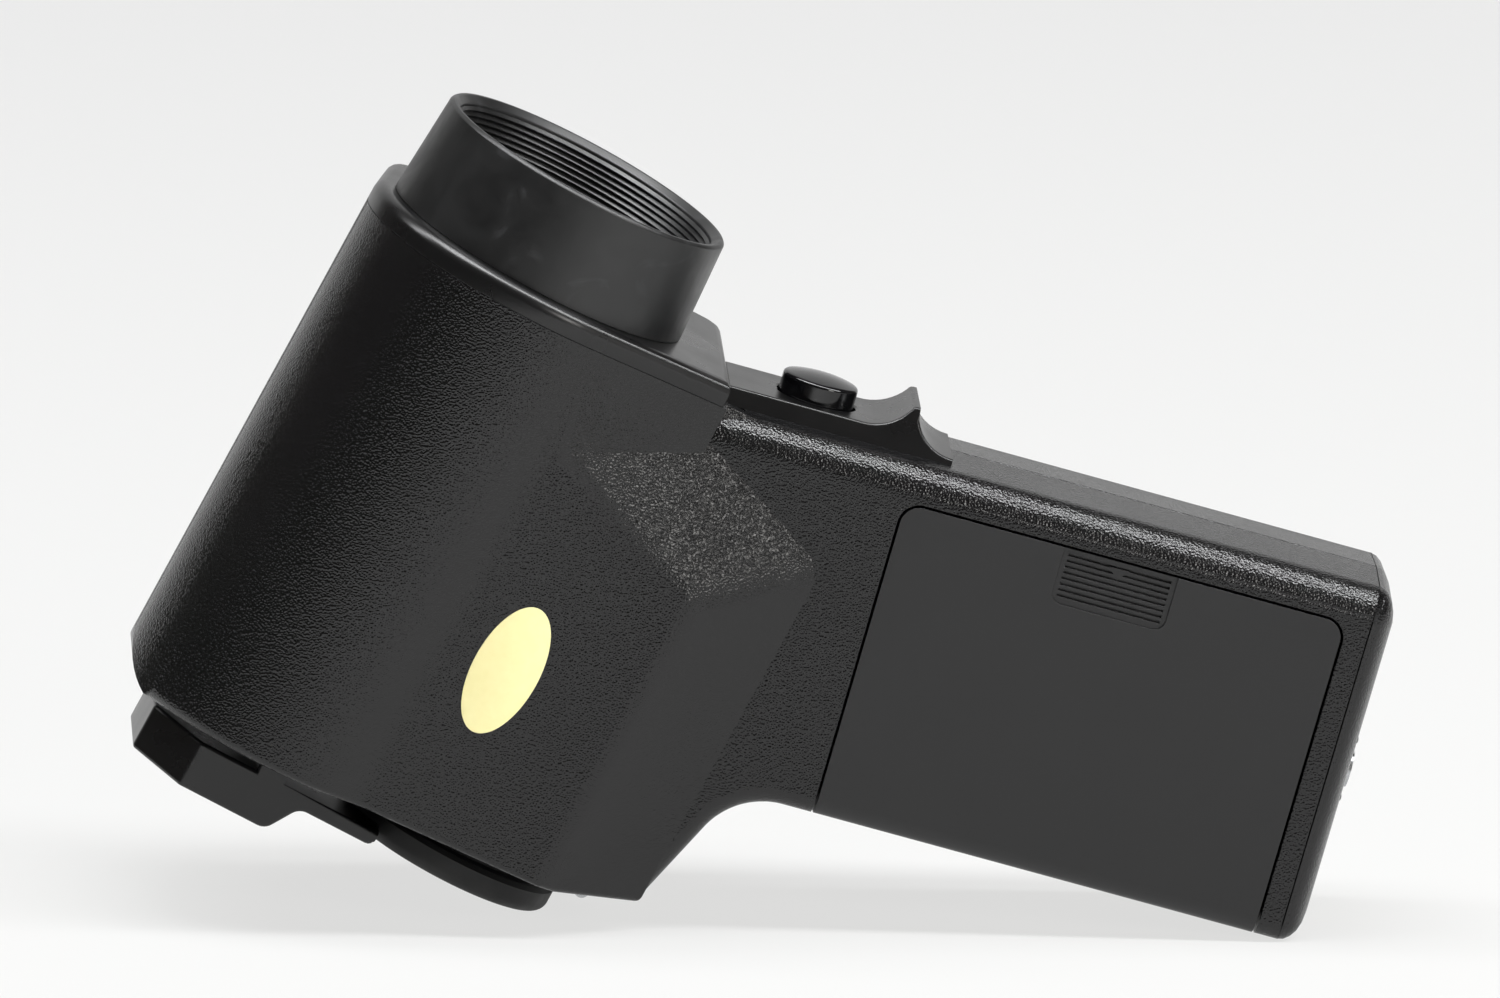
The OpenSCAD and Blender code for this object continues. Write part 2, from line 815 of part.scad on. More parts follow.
// Ring that is turned to focus the finder, with the eyepiece lens in it
module eyepiece_ring() {
    r = eye_d / 2;
    c = [r - eye_edge_r, eye_rear + eye_edge_r];
    run = sleeve_d / 2 + run_gap;
    x_lens = eye_rear + eye_lip + eye_lens_t;
    color(black_rubber) translate([0, 0, -eye_drop]) rotate([0, 90, 0]) rotate_extrude() polygon(concat(
        [[run, x_rear - eye_gap], [run, x_lens], [eye_lens_d / 2, x_lens]],
        [[eye_lens_d / 2, eye_rear + eye_lip], [eye_opening / 2, eye_rear + eye_lip]],
        [[eye_opening / 2 + 0.6, eye_rear]],
        arc(c, eye_edge_r, -90, 0, 8),
        [[r, x_rear - eye_gap - 0.6], [r - 0.6, x_rear - eye_gap]]
    ));
}

module eyepiece_lens() {
    x0 = eye_rear + eye_lip;
    half = eye_lens_d / 2 - seat_gap;
    dome = 40;
    color(clear_glass) translate([0, 0, -eye_drop]) rotate([0, 90, 0]) rotate_extrude() polygon(concat(
        arc([0, x0 + eye_lens_t - dome], dome, acos(half / dome), 90, 8),
        [[0, x0], [half, x0]]
    ));
}

// Fixed metal tube on the optics frame, on which the eyepiece ring turns
module eyepiece_sleeve() {
    color(bright_steel) difference() {
        union() {
            rod_x(eye_rear + eye_lip + eye_lens_t + slide_gap, frame_rear, sleeve_d, -eye_drop);
            rod_x(frame_rear - 1.5, frame_rear, sleeve_flange_d, -eye_drop);
        }
        rod_x(eye_rear, frame_rear + 1, sleeve_bore, -eye_drop);
    }
}

// Side outline of the trigger panel, drawn in depth and length along the grip
module trigger_side() {
    rise = hook_h - panel_t;
    reach = hook_tip - hook_foot;
    r0 = (reach * reach + rise * rise) / (2 * rise);
    back = [hook_tip + hook_tip_w, hook_h];
    r1 = panel_end - back[0];
    fall = hook_h - toe_h;
    polygon([for (p = concat(
        [[panel_start, -1], [panel_start, panel_t]],
        arc([hook_foot, panel_t + r0], r0, -90, -90 + asin(reach / r0), 10),
        [for (i = [0:10]) [panel_end - r1 * cos(9 * i), hook_h - fall * sin(9 * i)]],
        [[panel_end, -1]]
    )) [-p[1], p[0]]]);
}

// Panel on the front of the grip, with the hook for the finger and the hole for the measuring button
module trigger_panel() {
    color(black_satin) difference() {
        in_grip() difference() {
            along_y(-panel_w / 2, panel_w / 2) trigger_side();
            for (side = [0, 1])
                mirror([0, side, 0])
                translate([0, panel_w / 2, 0])
                rotate([0, 0, panel_draft])
                translate([-far / 2, 0, -far / 2])
                cube(far);
            translate([0, 0, -grip_root]) linear_extrude(grip_len) grip_section(0);
            translate([-hook_h, 0, button_t]) rotate([0, 90, 0])
                cylinder(h = 2 * hook_h, d = button_d + 2 * slide_gap);
        }
        along_x(x_seam - grip_root, x_seam) head_profile(0, head_foot, cover_drop);
    }
}

// Domed button in the trigger panel, kept in by a flange behind the wall of the grip
module measuring_button() {
    color(black_gloss) in_grip() translate([0, 0, button_t]) rotate([0, 90, 0]) {
        intersection() {
            translate([0, 0, -button_top]) cylinder(h = button_top + flange_d0, d = button_d);
            translate([0, 0, button_dome_r - button_top]) sphere(r = button_dome_r);
        }
        translate([0, 0, flange_d0]) cylinder(h = button_flange_t, d = button_flange);
    }
}

// Return spring of the button at its working length, drawn as a plain sleeve
module button_spring() {
    color(bright_steel) in_grip() translate([switch_top, 0, button_t]) rotate([0, 90, 0]) difference() {
        cylinder(h = switch_foot - switch_top, d = spring_d);
        translate([0, 0, -1]) cylinder(h = switch_foot, d = spring_d - 2 * spring_wire);
    }
}

module button_switch() {
    color("#2a2a2c") in_grip() {
        translate([switch_top, 0, button_t]) rotate([0, 90, 0]) cylinder(h = plunger, d = 3);
        translate([switch_top + plunger, -switch_size / 2, button_t - switch_size / 2])
            cube([switch_body, switch_size, switch_size]);
    }
}

// Small board across the grip that carries the button switch
module switch_board() {
    half = grip_half - wall;
    color(board_green) in_grip()
        translate([switch_foot, -half, switch_board_t0])
        cube([board_t, 2 * half, switch_board_t1 - switch_board_t0]);
}

// Shallow pocket for the thumb, open to the door's front edge, with grooves that leave a small arrow
module thumb_pad() {
    middle = pad_len / 2;
    floor_y = -grip_half + pad_recess;
    translate([door_front, 0, pad_start]) {
        along_y(-grip_half - 1, floor_y) {
            translate([-1, 0]) square([1 + pad_depth - pad_corner_r, pad_len]);
            translate([-1, pad_corner_r]) square([1 + pad_depth, pad_len - 2 * pad_corner_r]);
            for (t = [pad_corner_r, pad_len - pad_corner_r])
                translate([pad_depth - pad_corner_r, t]) circle(r = pad_corner_r);
        }
        along_y(-grip_half - 1, floor_y + groove_deep) difference() {
            for (i = [0:groove_count - 1])
                translate([groove_start + i * groove_pitch, groove_margin])
                square([groove_w, pad_len - 2 * groove_margin]);
            translate([arrow_start, middle])
                polygon([[0, -arrow_half], [arrow_len, 0], [0, arrow_half]]);
        }
    }
}

// Battery door: the right side of the grip and half of its rear face, with a grooved thumb pad
module battery_door() {
    color(black_grain) in_grip() difference() {
        union() {
            difference() {
                intersection() {
                    translate([0, 0, door_start]) linear_extrude(door_len) grip_section(0);
                    along_y(-grip_half, -slide_gap) door_outline(0);
                }
                translate([0, 0, door_start - 1]) linear_extrude(door_len + 2) grip_section(wall);
            }
            for (t = [door_start - tongue, door_end - tongue])
                translate([tongue_front, -grip_half + wall + slide_gap, t])
                cube([tongue_rear - tongue_front, tongue_t, 2 * tongue]);
            for (t = [door_start, door_end - tongue])
                translate([tongue_front, -grip_half + wall / 2, t])
                cube([tongue_rear - tongue_front, wall / 2 + slide_gap, tongue]);
        }
        thumb_pad();
    }
}

// Trough for the cell, seated on the inside of the left shell
module battery_tray() {
    color("#242426") in_grip() difference() {
        translate([tray_mid - tray_width / 2, cell_y, tray_start])
            cube([tray_width, grip_half - wall - cell_y, tray_end - tray_start]);
        translate([tray_mid, cell_y, tray_start + tray_end_wall])
            cylinder(h = tray_end - tray_start - 2 * tray_end_wall, d = cell_d + 2 * cell_gap);
    }
}

module battery_cell() {
    color("#8a8f94") in_grip() translate([tray_mid, cell_y, cell_start]) {
        cylinder(h = cap_nub + 1, d = cap_nub_d);
        translate([0, 0, cap_nub]) cylinder(h = cell_len - cap_nub, d = cell_d);
    }
}

module positive_contact() {
    color(bright_steel) in_grip()
        translate([tray_mid - contact_size / 2, cell_y - contact_size / 2, tray_start + tray_end_wall])
        cube([contact_size, contact_size, contact_t]);
}

// Spring under the negative end of the cell, at its working length, drawn as a plain cone-ended sleeve
module negative_spring() {
    color(bright_steel) in_grip() translate([tray_mid, cell_y, cell_end]) rotate_extrude() polygon([
        [2.4, 0], [3.4, 0], [5.6, spring_len], [4.6, spring_len]
    ]);
}

// Cap that closes the grip, with rounded edges, a rim inside the shells and the boss of the tripod bush
module end_cap() {
    color(black_grain) in_grip() difference() {
        union() {
            hull() {
                for (i = [0:cap_steps]) {
                    a = 90 * i / cap_steps;
                    translate([0, 0, cap_seam + (cap_t - 0.02) * sin(a)])
                        linear_extrude(0.02)
                        grip_section(cap_round * (1 - cos(a)));
                }
            }
            translate([0, 0, cap_seam - rim_deep]) linear_extrude(rim_deep) difference() {
                grip_section(wall + seat_gap);
                grip_section(wall + seat_gap + rim_t);
            }
            translate([bush_at, 0, cap_seam - rim_deep - 2]) cylinder(h = cap_t + rim_deep, d = bush_boss);
            for (side = [-1, 1])
                translate([sync_at + side * pip_at, 0, cap_seam])
                cylinder(h = cap_t + sync_proud, d = pip_d);
        }
        translate([sync_at, 0, cap_seam - 5]) cylinder(h = far, d = sync_d + 2 * seat_gap);
        translate([bush_at, 0, cap_seam - 5]) cylinder(h = far, d = bush_d + 2 * seat_gap);
        for (p = cap_screw_at) translate([p[0], p[1], cap_seam]) {
            translate([0, 0, -rim_deep - 1]) cylinder(h = rim_deep + 1, d = pillar_d + 4 * seat_gap);
            translate([0, 0, -1]) cylinder(h = far, d = screw_d + 2 * seat_gap);
            translate([0, 0, cap_screw_seat]) cylinder(h = far, d = screw_head_d + 2 * seat_gap);
        }
    }
}

// Coaxial flash socket in the middle of the end cap
module sync_terminal() {
    top = grip_len + sync_proud;
    color(bright_steel) in_grip() translate([sync_at, 0, 0]) {
        difference() {
            union() {
                translate([0, 0, grip_len - sync_len]) cylinder(h = sync_len, d = sync_d);
                translate([0, 0, grip_len]) cylinder(h = sync_proud, d = sync_boss);
            }
            translate([0, 0, top - sync_depth]) cylinder(h = sync_depth + 1, d = sync_bore);
        }
        translate([0, 0, top - sync_depth - 0.5]) cylinder(h = sync_depth - 0.5, d = sync_pin);
    }
}

// Threaded bush for a tripod screw, drawn with its tapping bore
module tripod_bush() {
    color(brass_tone) in_grip() translate([bush_at, 0, grip_len - bush_len]) difference() {
        cylinder(h = bush_len, d = bush_d);
        translate([0, 0, -1]) cylinder(h = bush_len + 2, d = bush_bore);
    }
}

// Straight legs of the strap lug
module lug_legs(d) {
    for (side = [-1, 1]) rod_x(lug_tip, x_rear + wall + lug_deep, d, lug_z, lug_y + side * lug_span / 2);
}

module strap_lug() {
    color(bright_steel) {
        lug_legs(lug_wire);
        rod_y(lug_y - lug_span / 2, lug_y + lug_span / 2, lug_wire, lug_tip, lug_z);
        for (side = [-1, 1]) translate([lug_tip, lug_y + side * lug_span / 2, lug_z]) sphere(d = lug_wire);
    }
}

// Barrel that holds the objective, with a collar in the hood and a flange behind the front cover
module lens_barrel() {
    nose_d = hood_bore_d - 2 * seat_gap;
    color("#1a1a1c") difference() {
        union() {
            rod_x(frame_front - frame_wall, x_seam, barrel_d);
            rod_x(x_seam, x_face - 0.6, nose_d);
            rod_x(x_seam - flange_t, x_seam, flange_d);
        }
        rod_x(x_stop, x_face, barrel_bore);
        rod_x(frame_rear, x_face, stop_bore);
    }
}

module lens_retainer() {
    color("#1a1a1c") difference() {
        rod_x(x_retainer - retainer_t - lens_sag / 2, x_retainer, lens_d);
        rod_x(x_front_lens - 1, x_retainer + 1, lens_d - 3);
    }
}

// Lens with two domed faces; x is the front of its edge
module lens(x) {
    half = lens_d / 2;
    dome = (half * half + lens_sag * lens_sag) / (2 * lens_sag);
    edge_turn = acos(half / dome);
    rotate([0, 90, 0]) rotate_extrude() polygon(concat(
        arc([0, x + lens_sag - dome], dome, edge_turn, 90, 8),
        arc([0, x - lens_edge - lens_sag + dome], dome, -90, -edge_turn, 8)
    ));
}

module front_lens() {
    color(clear_glass) lens(x_front_lens);
}

module rear_lens() {
    color(clear_glass) lens(x_rear_lens);
}

module lens_spacer() {
    color("#1a1a1c") difference() {
        rod_x(x_rear_lens + lens_sag / 3, x_spacer - lens_sag / 3, lens_d);
        rod_x(x_rear_lens - 1, x_spacer + 1, lens_d - 3);
    }
}

// Frame of the finder and sensor optics, with two ears for its screws
module optics_frame() {
    tall = frame_top - frame_foot;
    color("#2c2c2e") difference() {
        union() {
            translate([frame_rear, -frame_half, frame_foot]) cube([frame_len, 2 * frame_half, tall]);
            for (z = ear_z)
                translate([frame_front - 1, frame_inside, z - ear_size / 2])
                cube([ear_x - frame_front + 1 + ear_size / 2, frame_wall, ear_size]);
        }
        translate([frame_rear + frame_wall, -frame_inside, frame_foot - 1])
            cube([frame_len - 2 * frame_wall, 2 * frame_inside, tall + 2]);
        rod_x(frame_front - 2 * frame_wall, frame_front + 1, barrel_d + 2 * seat_gap);
        rod_x(frame_rear - 1, frame_rear + 2 * frame_wall, cell_sensor_d + 2 * seat_gap);
        rod_x(frame_rear - 1, frame_rear + 2 * frame_wall, sleeve_bore - 1, -eye_drop);
        for (z = ear_z) rod_y(0, frame_half + 1, screw_d + 2 * seat_gap, ear_x, z);
    }
}

// Half-silvered mirror that turns the light down to the screen
module beam_mirror() {
    color("#c8ccd0") translate([mirror_x, -frame_inside, 0]) rotate([0, -45, 0])
        translate([-mirror_len / 2, 0, -mirror_t / 2]) cube([mirror_len, 2 * frame_inside, mirror_t]);
}

module focusing_screen() {
    color(clear_glass) translate([prism_rear, -frame_inside, prism_top])
        cube([screen_len, 2 * frame_inside, screen_t]);
}

// Small display beside the screen, seen in the finder
module finder_display() {
    x0 = prism_rear + screen_len;
    color("#6f7a70") translate([x0, -frame_inside, prism_top])
        cube([frame_front - frame_wall - x0, 2 * frame_inside, screen_t]);
}

// Prism that turns the light from the screen to the eyepiece
module finder_prism() {
    color(clear_glass) along_y(-prism_leg / 2, prism_leg / 2) polygon([
        [prism_rear, prism_top], [prism_rear + prism_leg, prism_top], [prism_rear, prism_top - prism_leg]
    ]);
}

module spot_aperture() {
    x0 = frame_rear + sensor_len;
    color("#1a1a1c") difference() {
        rod_x(x0, x0 + aperture_t, cell_sensor_d);
        rod_x(x0 - 1, x0 + 1, aperture_d);
    }
}

module photocell() {
    color("#3a2a3a") rod_x(frame_rear, frame_rear + sensor_len, cell_sensor_d);
}

module photocell_board() {
    color(board_green)
        translate([frame_rear - sensor_board_t, -sensor_board / 2, sensor_board_foot])
        cube([sensor_board_t, sensor_board, sensor_board]);
}

// Circuit board behind the controls, on the left wall of the optics frame
module main_board() {
    color(board_green) difference() {
        translate([frame_rear + 1, frame_half, board_z[0]])
            cube([ear_x - pillar_d - frame_rear - 1, main_board_t, board_z[1] - board_z[0]]);
        for (z = ear_z) rod_y(frame_half - 1, frame_half + 3, pillar_d + 1, ear_x, z);
    }
}

module key_mat() {
    margin = 2;
    x0 = key_column - key_size[0] / 2 - margin / 2;
    z0 = key_rows[1] - margin;
    color("#59595c") translate([x0, mat_y, z0])
        cube([3 * key_pitch + key_size[0] + margin, mat_t, key_rows[0] - key_rows[1] + 2 * margin]);
}

module display_module() {
    color("#3d4440") translate([panel_mid - display_size[0] / 2, mat_y, display_z])
        cube([display_size[0], key_seat - mat_y, display_size[1]]);
}

// Clear window over the display, lying on the flat of the left shell
module display_window() {
    color("#9aa39c") along_y(control_half, control_half + plate_t)
        plate_square(panel_mid, display_z + display_size[1] / 2, window_size);
}

// Thin plate over the control side, with openings for the window, the keys and the sliders
module control_panel() {
    color("#26262a") difference() {
        translate([panel_x[0], control_half, panel_z[0]])
            cube([panel_x[1] - panel_x[0], plate_t, panel_z[1] - panel_z[0]]);
        control_holes(control_half - 1, control_half + plate_t + 1, slide_gap, window_size + [0.2, 0.2]);
    }
}

// One key, kept in by a flange behind the wall; columns count forward from the rear
module key(column, row) {
    x = key_column + column * key_pitch;
    z = key_rows[row];
    color("#4a4a4e") {
        along_y(key_seat, control_half + plate_t + key_proud) plate_square(x, z, key_size);
        along_y(key_seat - key_flange_t, key_seat) plate_square(x, z, key_flange);
    }
}

// Bases of the two slide switches on the main board
module slide_switches() {
    color("#2a2a2c") for (x = slider_x)
        along_y(mat_y, key_seat - key_flange_t - slide_gap) plate_square(x, slider_z, slider_base);
}

// Thumb piece of a slide switch, kept in by a flange behind the wall
module slider(x) {
    top = control_half + plate_t + key_proud;
    color("#5a5a5e") {
        along_y(key_seat, top) plate_square(x, slider_z, slider_cap);
        along_y(key_seat - key_flange_t, key_seat) plate_square(x, slider_z, slider_cap + [4, 2]);
    }
}

// Self-tapping screw along +Z, with the underside of its head at z = 0
module screw(bite, head) {
    translate([0, 0, -bite]) cylinder(h = bite, d = screw_d);
    difference() {
        cylinder(h = head, d = screw_head_d);
        for (turn = [0, 90])
            rotate([0, 0, turn])
            translate([-screw_head_d / 3, -0.3, head / 2])
            cube([screw_head_d / 1.5, 0.6, head]);
    }
}

module case_screws() {
    color(bright_steel) at_case_screws()
        translate([0, 0, seat_y])
        screw(seat_y + screw_bite - 0.5, screw_head);
}

module frame_screws() {
    color(bright_steel) for (z = ear_z)
        translate([ear_x, frame_inside, z]) rotate([90, 0, 0]) screw(frame_wall + 4.5, 1.3);
}

module rear_cover_screws() {
    color(bright_steel) for (side = [-1, 1])
        translate([x_rear + wall + seat_gap, side * brow_screw_y, brow_screw_z])
        rotate([0, 90, 0])
        screw(wall + brow_screw_bite, brow_screw_head);
}

module end_cap_screws() {
    color(bright_steel) in_grip() for (p = cap_screw_at)
        translate([p[0], p[1], cap_seam + cap_screw_seat]) screw(cap_screw_len - 0.5, screw_head - 0.4);
}

rest() right_shell();
rest() left_shell();
rest() front_cover();
rest() lens_hood();
rest() rear_cover();
rest() eyepiece_ring();
rest() eyepiece_lens();
rest() eyepiece_sleeve();
rest() trigger_panel();
rest() measuring_button();
rest() button_spring();
rest() button_switch();
rest() switch_board();
rest() battery_door();
rest() battery_tray();
rest() battery_cell();
rest() positive_contact();
rest() negative_spring();
rest() end_cap();
rest() sync_terminal();
rest() tripod_bush();
rest() strap_lug();
rest() lens_barrel();
rest() lens_retainer();
rest() front_lens();
rest() lens_spacer();
rest() rear_lens();
rest() optics_frame();
rest() beam_mirror();
rest() focusing_screen();
rest() finder_display();
rest() finder_prism();
rest() spot_aperture();
rest() photocell();
rest() photocell_board();
rest() main_board();
rest() key_mat();
rest() display_module();
rest() display_window();
rest() control_panel();
rest() key(3, 0);  // key_iso
rest() key(2, 0);  // key_time
rest() key(1, 0);  // key_up
rest() key(0, 0);  // key_down
rest() key(3, 1);  // key_shadow
rest() key(2, 1);  // key_highlight
rest() key(1, 1);  // key_average
rest() key(0, 1);  // key_memory
rest() slide_switches();
rest() slider(slider_x[1]);  // mode_slider
rest() slider(slider_x[0] - slider_travel);  // power_slider
rest() case_screws();
rest() frame_screws();
rest() rear_cover_screws();
rest() end_cap_screws();
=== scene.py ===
import json
import math

import bmesh
import bpy
from mathutils import Matrix, Vector
from mathutils.bvhtree import BVHTree


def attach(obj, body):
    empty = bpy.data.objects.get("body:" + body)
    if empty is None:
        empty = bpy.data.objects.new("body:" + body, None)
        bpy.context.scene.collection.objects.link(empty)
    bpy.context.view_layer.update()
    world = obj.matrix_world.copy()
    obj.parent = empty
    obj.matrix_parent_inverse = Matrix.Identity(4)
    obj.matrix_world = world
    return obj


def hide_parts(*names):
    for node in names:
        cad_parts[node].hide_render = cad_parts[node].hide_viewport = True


# Hand-held spot meter: finishes, rounded edges, a paper label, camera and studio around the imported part.

MM = 0.001

# The part rests on its eyepiece ring and on the heel of its grip. These turn a point from the attitude of use
# (X forward along the lens axis, Y left, Z up) to the place where it rests, as the part's source does.
REST_TILT = math.radians(63.1917)
REST_SHIFT = Vector((-23.7417, -0.6, 97.3211)) * MM
REST = Matrix.Translation(REST_SHIFT) @ Matrix.Rotation(-REST_TILT, 4, "Y")
USE = REST.inverted()

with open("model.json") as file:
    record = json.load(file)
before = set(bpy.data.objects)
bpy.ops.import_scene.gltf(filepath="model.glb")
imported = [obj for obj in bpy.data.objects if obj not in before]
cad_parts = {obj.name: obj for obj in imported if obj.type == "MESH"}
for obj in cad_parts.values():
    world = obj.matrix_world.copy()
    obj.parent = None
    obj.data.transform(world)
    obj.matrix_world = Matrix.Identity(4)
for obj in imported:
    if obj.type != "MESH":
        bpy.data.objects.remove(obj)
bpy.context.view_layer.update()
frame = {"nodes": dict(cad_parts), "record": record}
nodes = frame["nodes"]


def linear(hex_colour, alpha=1.0):
    """An sRGB hex value as linear red, green, blue and alpha."""
    parts = [int(hex_colour[i:i + 2], 16) / 255 for i in (1, 3, 5)]
    return tuple(p / 12.92 if p <= 0.04045 else ((p + 0.055) / 1.055) ** 2.4 for p in parts) + (alpha,)


def add(tree, kind, settings=None, links=None):
    """Adds one node to a tree, with its settings by name or input and its links by input."""
    node = tree.nodes.new(kind)
    for name, value in (settings or {}).items():
        if isinstance(name, str) and hasattr(node, name):
            setattr(node, name, value)
        else:
            node.inputs[name].default_value = value
    for name, source in (links or {}).items():
        tree.links.new(source, node.inputs[name])
    return node


def finish(name, settings):
    """A new material with one shader: (material, node tree, shader, the piece's own coordinates)."""
    material = bpy.data.materials.new(name)
    material.use_nodes = True
    tree = material.node_tree
    tree.nodes.clear()
    shader = add(tree, "ShaderNodeBsdfPrincipled", settings)
    add(tree, "ShaderNodeOutputMaterial", links={"Surface": shader.outputs["BSDF"]})
    place = add(tree, "ShaderNodeTexCoord").outputs["Object"]
    return material, tree, shader, place


def per_mm(size):
    """Scale of a pattern whose features are this many millimetres apart."""
    return 1 / (size * MM)


def ramp(tree, source, low, high, low_out, high_out):
    """A value mapped from one range to another, and kept inside it."""
    return add(tree, "ShaderNodeMapRange", {
        "From Min": low, "From Max": high, "To Min": low_out, "To Max": high_out,
    }, {"Value": source}).outputs["Result"]


def specks(tree, place, spacing, share, radius):
    """A mask of lone dots: one cell in so many, each with a dot of that radius in millimetres."""
    cells = add(tree, "ShaderNodeTexVoronoi", {"Scale": per_mm(spacing)}, {"Vector": place})
    dot = ramp(tree, cells.outputs["Distance"], radius / spacing * 0.6, radius / spacing, 1, 0)
    lone = add(tree, "ShaderNodeMath", {"operation": "LESS_THAN", 1: share}, {0: cells.outputs["Color"]})
    both = add(tree, "ShaderNodeMath", {"operation": "MULTIPLY"}, {0: dot, 1: lone.outputs["Value"]})
    return both.outputs["Value"]


def mix_colour(tree, mask, low, high):
    """A colour that goes from one hex value to another with a mask."""
    blend = add(tree, "ShaderNodeMix", {"data_type": "RGBA", 6: linear(low), 7: linear(high)}, {0: mask})
    return blend.outputs[2]


# Moulded ABS with a leather grain: black, with fine pebbles that sparkle in grazing light and specks of dust
def grained_abs():
    material, tree, shader, place = finish("moulded_abs_leather_grain", {"IOR": 1.5})
    pebbles = add(tree, "ShaderNodeTexVoronoi", {
        "feature": "SMOOTH_F1", "Scale": per_mm(0.3), "Smoothness": 0.35, "Randomness": 1.0,
    }, {"Vector": place})
    bump = add(tree, "ShaderNodeBump", {"Strength": 0.8, "Distance": 0.09 * MM},
               {"Height": pebbles.outputs["Distance"]})
    tree.links.new(bump.outputs["Normal"], shader.inputs["Normal"])
    dust = specks(tree, place, 4.0, 0.1, 0.08)
    tree.links.new(mix_colour(tree, dust, "#0c0c0d", "#77777a"), shader.inputs["Base Color"])
    patches = add(tree, "ShaderNodeTexNoise", {"Scale": per_mm(14), "Detail": 3.0}, {"Vector": place})
    tree.links.new(ramp(tree, patches.outputs["Fac"], 0.3, 0.7, 0.2, 0.25), shader.inputs["Roughness"])
    return material


# Smooth finishes, moulded, printed or lacquered: an even colour, a sheen, a faint mottle and a fine texture
def smooth_finish(name, low, high, rough_low, rough_high, texture):
    material, tree, shader, place = finish(name, {"IOR": 1.5})
    mottle = add(tree, "ShaderNodeTexNoise", {"Scale": per_mm(9), "Detail": 4.0}, {"Vector": place})
    tree.links.new(mix_colour(tree, mottle.outputs["Fac"], low, high), shader.inputs["Base Color"])
    sheen = ramp(tree, mottle.outputs["Fac"], 0.3, 0.7, rough_low, rough_high)
    tree.links.new(sheen, shader.inputs["Roughness"])
    fine = add(tree, "ShaderNodeTexNoise", {"Scale": per_mm(0.3), "Detail": 2.0}, {"Vector": place})
    bump = add(tree, "ShaderNodeBump", {"Strength": 0.3, "Distance": texture * MM},
               {"Height": fine.outputs["Fac"]})
    tree.links.new(bump.outputs["Normal"], shader.inputs["Normal"])
    return material


# Black anodised aluminium: a cool satin black with pale scuffs from handling and a few specks of dust
def anodised_black():
    material, tree, shader, place = finish("anodised_aluminium_black", {"IOR": 1.6})
    smears = add(tree, "ShaderNodeTexNoise", {"Scale": per_mm(7), "Detail": 6.0, "Distortion": 1.2},
                 {"Vector": place})
    scuff = ramp(tree, smears.outputs["Fac"], 0.62, 0.78, 0, 1)
    dust = specks(tree, place, 5.0, 0.3, 0.08)
    marks = add(tree, "ShaderNodeMath", {"operation": "MAXIMUM"}, {0: scuff, 1: dust})
    colour = mix_colour(tree, marks.outputs["Value"], "#0a0b0c", "#2c2d2f")
    tree.links.new(colour, shader.inputs["Base Color"])
    tree.links.new(ramp(tree, smears.outputs["Fac"], 0.3, 0.75, 0.36, 0.5), shader.inputs["Roughness"])
    return material


# Rubber: matt, with a dry bloom
def rubber(name, low, high):
    material, tree, shader, place = finish(name, {"IOR": 1.5})
    bloom = add(tree, "ShaderNodeTexNoise", {"Scale": per_mm(3), "Detail": 5.0}, {"Vector": place})
    tree.links.new(mix_colour(tree, bloom.outputs["Fac"], low, high), shader.inputs["Base Color"])
    tree.links.new(ramp(tree, bloom.outputs["Fac"], 0.3, 0.7, 0.55, 0.7), shader.inputs["Roughness"])
    return material


# Turned or plated metal: bright, with a fine uneven polish
def metal(name, low, high, rough):
    material, tree, shader, place = finish(name, {"Metallic": 1.0})
    marks = add(tree, "ShaderNodeTexNoise", {"Scale": per_mm(0.8), "Detail": 4.0}, {"Vector": place})
    tree.links.new(mix_colour(tree, marks.outputs["Fac"], low, high), shader.inputs["Base Color"])
    polish = ramp(tree, marks.outputs["Fac"], 0.3, 0.7, rough, rough + 0.12)
    tree.links.new(polish, shader.inputs["Roughness"])
    return material


# Clear glass or acrylic, with a faint tint and a trace of haze
def glass(name, tint, roughness):
    material, tree, shader, place = finish(name, {
        "IOR": 1.52, "Transmission Weight": 1.0, "Base Color": linear(tint),
    })
    haze = add(tree, "ShaderNodeTexNoise", {"Scale": per_mm(6), "Detail": 2.0}, {"Vector": place})
    tree.links.new(ramp(tree, haze.outputs["Fac"], 0.3, 0.7, roughness, roughness + 0.02),
                   shader.inputs["Roughness"])
    return material


# Glass epoxy board: green lacquer over copper tracks that run in steps
def circuit_board():
    material, tree, shader, place = finish("glass_epoxy_board_green", {"Roughness": 0.35, "IOR": 1.5})
    tracks = add(tree, "ShaderNodeTexBrick", {
        "Scale": per_mm(6), "Mortar Size": 0.06, "Color1": linear("#1c4f34"), "Color2": linear("#225c3d"),
        "Mortar": linear("#2f7a52"),
    }, {"Vector": place})
    tree.links.new(tracks.outputs["Color"], shader.inputs["Base Color"])
    return material


# Coated paper: pale yellow with soft fibres
def paper_label():
    material, tree, shader, place = finish("coated_paper_pale_yellow", {"Roughness": 0.45, "IOR": 1.45})
    fibre = add(tree, "ShaderNodeTexNoise", {"Scale": per_mm(1.2), "Detail": 5.0}, {"Vector": place})
    tree.links.new(mix_colour(tree, fibre.outputs["Fac"], "#f0e6a4", "#f7eeb4"), shader.inputs["Base Color"])
    return material


